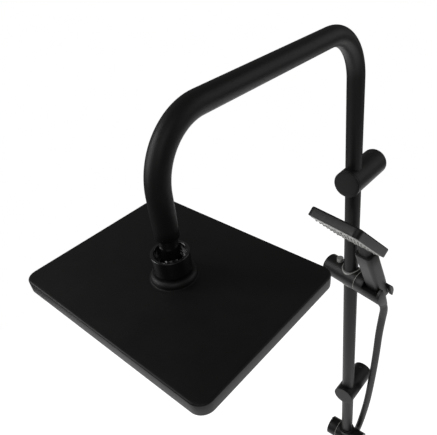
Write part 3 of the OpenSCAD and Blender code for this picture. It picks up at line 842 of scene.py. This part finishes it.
class SHOWER_OT_hand_shower(bpy.types.Operator):
    """Loft the hand shower: shell, face, nozzles, neck and handle"""

    bl_idname = "shower.hand_shower"
    bl_label = "Hand shower"

    def execute(self, context):
        finishes = settings()[0]
        plastic = plastic_finish()
        w, h, corner, rim = HAND_W, HAND_H, 8.0, HAND_T - 1.2
        angles = rectangle_angles(w / 2, h / 2, corner, 48, 10)
        rings = [rectangle_ring(w, h, corner, inset, rim * 0.5 - (z - rim * 0.5), angles)
                 for inset, z in reversed(eased_edge(2.2, rim - 2.2, rim, 6))]
        rings += [rectangle_ring(w, h, corner, inset, z, angles)
                  for inset, z in eased_edge(0.9, rim - 0.9, rim)]
        rings += [rectangle_ring(w, h, corner, inset, z, angles)
                  for inset, z in ((3.7, rim), (4, rim - 0.4), (4, 3.8))]
        shape = bmesh.new()
        add_skin(shape, rings)
        shell = put_in_scene("hand_shower_shell", shape, AT_HAND_HEAD, 35)
        dress(shell, "hand_shower", "satin_black_plastic", plastic, "hand_shell")

        face = moulded("face_plastic_grey", finishes.face, 0.4, texture=0.12, spread=0.03)
        fw, fh, low, high = w - 8.4, h - 8.4, HAND_T - 4.4, HAND_T - 0.4
        angles = rectangle_angles(fw / 2, fh / 2, 4.8, 32, 8)
        shape = bmesh.new()
        rings = [rectangle_ring(fw, fh, 4.8, 0, low, angles)]
        rings += [rectangle_ring(fw, fh, 4.8, inset, z, angles)
                  for inset, z in eased_edge(0.8, high - 0.8, high)]
        add_skin(shape, rings)
        plate = put_in_scene("hand_shower_face", shape, AT_HAND_HEAD, 35)
        dress(plate, "hand_shower", "face_grey", face, "hand_face_plate")

        shape = bmesh.new()
        nub = [(1.75, high), (1.7, high + 0.3), (1.3, high + 1.25), (1.0, high + 1.3),
               (0.45, high + 1.3), (0.45, high + 0.7)]
        for i in range(-3, 4):
            for j in range(-3, 4):
                add_skin(shape, [[(px + i * 10.5, py + j * 9.5, pz)
                                  for px, py, pz in circle(r, z, 16)] for r, z in nub])
        nubs = put_in_scene("hand_shower_nozzles", shape, AT_HAND_HEAD, 35)
        dress(nubs, "hand_shower", "face_grey",
              rubber("nozzle_grey", (0.3, 0.3, 0.29), 0.5), "hand_nozzles")

        wide, deep = HANDLE_SIZE
        angles = rectangle_angles(wide / 2, deep / 2, 6, 24, 10)
        low, high = HANDLE_LOW, HANDLE_HIGH
        sections = [(0.8, low), (0.25, low + 0.3), (0, low + 1)]
        sections += [(0, low + (HANDLE_TAPER - low) * k / 8) for k in range(1, 9)]
        sections += [(0, 45), (0, 68), (0, high - 1.2), (0.35, high - 0.35), (1.2, high)]
        shape = bmesh.new()
        add_skin(shape, [rectangle_ring(*handle_section(s), 6, inset, s, angles)
                         for inset, s in sections])
        handle = put_in_scene("hand_shower_handle", shape, AT_HANDLE, 35)
        dress(handle, "hand_shower", "satin_black_plastic", plastic, "hand_handle")

        to_handle = AT_HAND_HEAD.inverted() @ AT_HANDLE
        start = [to_handle @ Vector(p)
                 for p in rectangle_ring(19, 15, 5, 0, high, angles)]
        turn = Matrix.Translation((0, -h / 2 - 1.3, 6)) @ turned_by(-math.pi / 2, "X")
        end = [turn @ Vector(p) for p in rectangle_ring(26, 8, 3.5, 0, 1.2, angles)]
        steps = 10
        shape = bmesh.new()
        add_skin(shape, [[a.lerp(b, k / steps) for a, b in zip(start, end)]
                         for k in range(steps + 1)])
        neck = put_in_scene("hand_shower_neck", shape, AT_HAND_HEAD, 35)
        dress(neck, "hand_shower", "satin_black_plastic", rubber_finish(), "hand_neck")

        cone = [(7, CONE_LOW), (7.25, CONE_LOW + 2.5), (CONE_TOP_R, low - 0.8),
                (CONE_TOP_R - 0.3, low - 0.1), (7, low - 0.1)]
        nut = turned("cone_nut", cone, AT_HANDLE, sides=64, ease=0.5)
        dress(nut, "hand_shower", "satin_black_plastic", plastic, "hose_cone_nut")
        return {"FINISHED"}


def spline_point(p, i, t):
    a, b, c, d = p[max(i - 1, 0)], p[i], p[i + 1], p[min(i + 2, len(p) - 1)]
    return 0.5 * (2 * b + (c - a) * t + (2 * a - 5 * b + 4 * c - d) * t * t
                  + (3 * b - a - 3 * c + d) * t ** 3)


class SHOWER_OT_hose(bpy.types.Operator):
    """Sweep the hose along its route and make its ferrule and nut"""

    bl_idname = "shower.hose"
    bl_label = "Hose"

    def execute(self, context):
        finishes, sizes, _ = settings()
        cone_end = (COLUMN.inverted() @ AT_HANDLE) @ Vector((0, 0, CONE_LOW - 0.4))
        route = [cone_end, cone_end + Vector((0.5, 3.2, -9.3))]
        route += [Vector(p) for p in HOSE_ROUTE]
        route += [HOSE_LOW - Vector((0, 0, HOSE_END_LEG)), HOSE_LOW]
        steps = 9
        line = [spline_point(route, i, k / steps) for i in range(len(route) - 1)
                for k in range(steps)] + [route[-1]]
        radius = sizes.hose_diameter / MM / 2
        shape = bmesh.new()
        add_skin(shape, [[m @ Vector(p) for p in circle(radius, 0, 24)]
                         for m in path_frames(line)])
        hose = put_in_scene("hose_tube", shape, COLUMN, 60)
        dress(hose, "column", "rubber_black",
              rubber("hose_skin", finishes.hose, 0.5), "hose")

        place = COLUMN @ moved(*HOSE_LOW)
        sleeve = [(6.35, 0), (7.8, 0), (7.8, 3), (7.4, 3.4), (7.4, 5), (7.8, 5.4), (7.8, 8),
                  (7.4, 8.4), (7.4, 10), (7.8, 10.4), (7.8, 19), (6.35, 19)]
        ferrule = turned("ferrule", sleeve, place, sides=64, hollow=True, ease=0.3)
        dress(ferrule, "column", "zinc_steel",
              brushed("dark_plated_steel", (0.1, 0.1, 0.105), 0.32), "hose_ferrule")
        sides, across = 6, 13.0
        shape = bmesh.new()
        rings = []
        for r, z in ((across - 1.3, 0), (across, 0.9), (across, 14.1), (across - 1.3, 15)):
            flat = []
            corners = [Vector(p) for p in circle(r, z, sides)]
            for a, b in zip(corners, corners[1:] + corners[:1]):
                flat += [a.lerp(b, step / 4) for step in range(4)]
            rings.append(flat)
        bore, floor = 10.6, 3
        rim = [Vector((p.x, p.y, 0)).normalized() * bore for p in rings[-1]]
        rings += [[p + Vector((0, 0, z)) for p in rim] for z in (15, floor)]
        add_skin(shape, rings)
        nut = put_in_scene("hexagon_nut", shape, place @ moved(0, 0, 19), 30)
        dress(nut, "column", "matte_black", coat_finish(), "hose_hex_nut")
        paint(rubber_finish(), "hose_washer")
        length = sum((a - b).length for a, b in zip(line, line[1:])) * MM
        [tuple(p * MM) for p in reversed(line)]
        return {"FINISHED"}


class SHOWER_OT_diverter(bpy.types.Operator):
    """Turn the diverter, its knob and lever pin, rings, outlet and inlet"""

    bl_idname = "shower.diverter"
    bl_label = "Diverter"

    def execute(self, context):
        edge = settings()[1].edge / MM
        coat = coat_finish()
        r = BRACKET_R
        body = turned("diverter_housing", [(r, -18.5), (r, 34)], AT_DIVERTER @ ALONG_X,
                      sides=112, ease=1.2)
        collar = turned("collar", [(15, 0), (15, 21)], AT_DIVERTER, sides=96, ease=edge)
        bosses = [turned("boss", [(11.5, -27), (11.5, 0)], AT_DIVERTER @ moved(x, 0, 0),
                         sides=72, ease=edge) for x in (-5, 22)]
        carve(body, "UNION", [collar, *bosses])
        dress(body, "column", "matte_black", coat, "diverter_body")
        ring = turned("diverter_ring", [(4.3, -19.4), (r - 0.2, -19.4), (r - 0.2, -18.6),
                                        (4.3, -18.6)],
                      AT_DIVERTER @ ALONG_X, sides=112, hollow=True, ease=0.2)
        dress(ring, "column", "clear_ring", ring_finish(), "diverter_seam_ring")
        knob = turned("knob", [(4.05, 1), (r, 1), (r, 19.5), (r - 4, 19.5), (0.5, 19.5),
                               (0.5, 12), (4.05, 12)],
                      AT_DIVERTER @ moved(KNOB_X, 0, 0) @ AGAINST_X, sides=112, hollow=True,
                      ease=edge)
        pin_hole = turned("pin_hole", [(1.8, 12), (1.8, 24)], AT_DIVERTER @ moved(LEVER_X, 0, 0),
                          sides=32)
        carve(knob, "DIFFERENCE", [pin_hole])
        dress(knob, "knob", "matte_black", coat, "diverter_knob")
        tip = [(1.75 * math.cos(math.radians(a)), 27 + 1.75 * math.sin(math.radians(a)))
               for a in range(0, 85, 12)]
        pin = turned("lever_pin", [(1.5, 13), (1.75, 13.3)] + tip, AT_DIVERTER @ moved(LEVER_X, 0, 0),
                     sides=40, ease=0.1)
        dress(pin, "knob", "matte_black", coat, "knob_lever")
        paint(rubber_finish(), "collar_o_ring")
        paint(ring_finish(), "diverter_cartridge")
        paint(brass_finish(), "hose_outlet", "inlet_union")
        return {"FINISHED"}


class SHOWER_OT_stage(bpy.types.Operator):
    """Lay the floor and set the soft studio light and the camera"""

    bl_idname = "shower.stage"
    bl_label = "Floor, light and camera"

    def execute(self, context):
        stage = settings()[2]
        low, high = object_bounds()
        span = 1.6
        shape = bmesh.new()
        level = low.z - stage.floor_drop
        corners = [shape.verts.new((x * span, y * span, level)) for x, y in
                   ((-1, -1), (1, -1), (1, 1), (-1, 1))]
        shape.faces.new(corners)
        mesh = bpy.data.meshes.new("floor")
        shape.to_mesh(mesh)
        shape.free()
        floor = bpy.data.objects.new("floor", mesh)
        context.scene.collection.objects.link(floor)

        def plaster(place):
            return {"Roughness": 0.7 + noise(place, 3, 3, 0.5) * 0.15}

        glow = {"Base Color": (0.9, 0.9, 0.9, 1), "Emission Color": (1, 1, 1, 1),
                "Emission Strength": stage.floor_glow}
        mesh.materials.append(finish("pale_floor", glow, plaster))
        floor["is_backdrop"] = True

        world = bpy.data.worlds.new("studio")
        context.scene.world = world
        world.use_nodes = True
        sky = world.node_tree.nodes["Background"]
        sky.inputs["Color"].default_value = (1, 1, 1, 1)
        seen = Wire(world.node_tree).node("ShaderNodeLightPath", output="Is Camera Ray")
        strength = seen * (1 - stage.sky) + stage.sky
        world.node_tree.links.new(strength.socket, sky.inputs["Strength"])
        context.scene.view_settings.view_transform = "Standard"

        middle = (low + high) / 2
        for name, power, size, offset in (
            ("key_light", stage.key_power, 1.2, Vector((-1.2, -1.2, 1.2))),
            ("fill_light", stage.fill_power, 1.6, Vector((1.3, 1.4, 1.1))),
            ("glint_light", stage.glint_power, 0.22, Vector((-0.75, -0.55, 1.25))),
        ):
            light = bpy.data.lights.new(name, "AREA")
            light.energy = power
            light.size = size
            lamp = bpy.data.objects.new(name, light)
            lamp.location = middle + offset
            lamp.rotation_mode = "QUATERNION"
            lamp.rotation_quaternion = (-offset).to_track_quat("-Z", "Y")
            context.scene.collection.objects.link(lamp)
        canopy = bpy.data.lights.new("overhead_light", "SUN")
        canopy.energy = stage.overhead
        canopy.angle = math.radians(40)
        lamp = bpy.data.objects.new("overhead_light", canopy)
        lamp.rotation_mode = "QUATERNION"
        lamp.rotation_quaternion = Vector((-0.5, 0.55, -0.67)).to_track_quat("-Z", "Y")
        context.scene.collection.objects.link(lamp)

        data = bpy.data.cameras.new("camera")
        camera = bpy.data.objects.new("camera", data)
        context.scene.collection.objects.link(camera)
        around, above, roll = math.radians(46.22), math.radians(36.48), math.radians(-9.45)
        back = Vector((math.sin(around) * math.cos(above), -math.cos(around) * math.cos(above),
                       math.sin(above)))
        sideways = (-back).cross(Vector((0, 0, 1))).normalized()
        upright = sideways.cross(-back)
        right = sideways * math.cos(roll) + upright * math.sin(roll)
        up = upright * math.cos(roll) - sideways * math.sin(roll)
        camera.matrix_world = (Matrix.Translation((0.2756, -0.5732, 0.3131))
                               @ Matrix((right, up, back)).transposed().to_4x4())
        data.sensor_width = 36.0
        data.lens = 37.91
        data.shift_x = -0.0341
        data.shift_y = 0.089
        data.clip_start = 0.01
        context.scene.camera = camera
        return {"FINISHED"}


class SHOWER_PT_panel(bpy.types.Panel):
    """The column's pieces, in the order they are made"""

    bl_label = "Shower Column"
    bl_idname = "SHOWER_PT_panel"
    bl_space_type = "VIEW_3D"
    bl_region_type = "UI"
    bl_category = "Shower Column"

    def draw(self, context):
        for group in settings():
            box = self.layout.box()
            for name in group.__annotations__:
                box.prop(group, name)
        for operator in OPERATORS:
            self.layout.operator(operator.bl_idname)


GROUPS = {"shower_finishes": ShowerFinishes, "shower_sizes": ShowerSizes,
          "shower_stage": ShowerStage}
OPERATORS = (SHOWER_OT_pipes, SHOWER_OT_ball_joint, SHOWER_OT_rain_head, SHOWER_OT_brackets,
             SHOWER_OT_slider, SHOWER_OT_hand_shower, SHOWER_OT_hose, SHOWER_OT_diverter,
             SHOWER_OT_stage)


def register():
    for cls in (*GROUPS.values(), *OPERATORS, SHOWER_PT_panel):
        bpy.utils.register_class(cls)
    for name, group in GROUPS.items():
        setattr(bpy.types.Scene, name, PointerProperty(type=group))


def unregister():
    for name in GROUPS:
        delattr(bpy.types.Scene, name)
    for cls in (SHOWER_PT_panel, *reversed(OPERATORS), *GROUPS.values()):
        bpy.utils.unregister_class(cls)


def main():
    register()
    for operator in OPERATORS:
        getattr(bpy.ops.shower, operator.bl_idname.split(".")[1])()


if __name__ == "__main__":
    main()
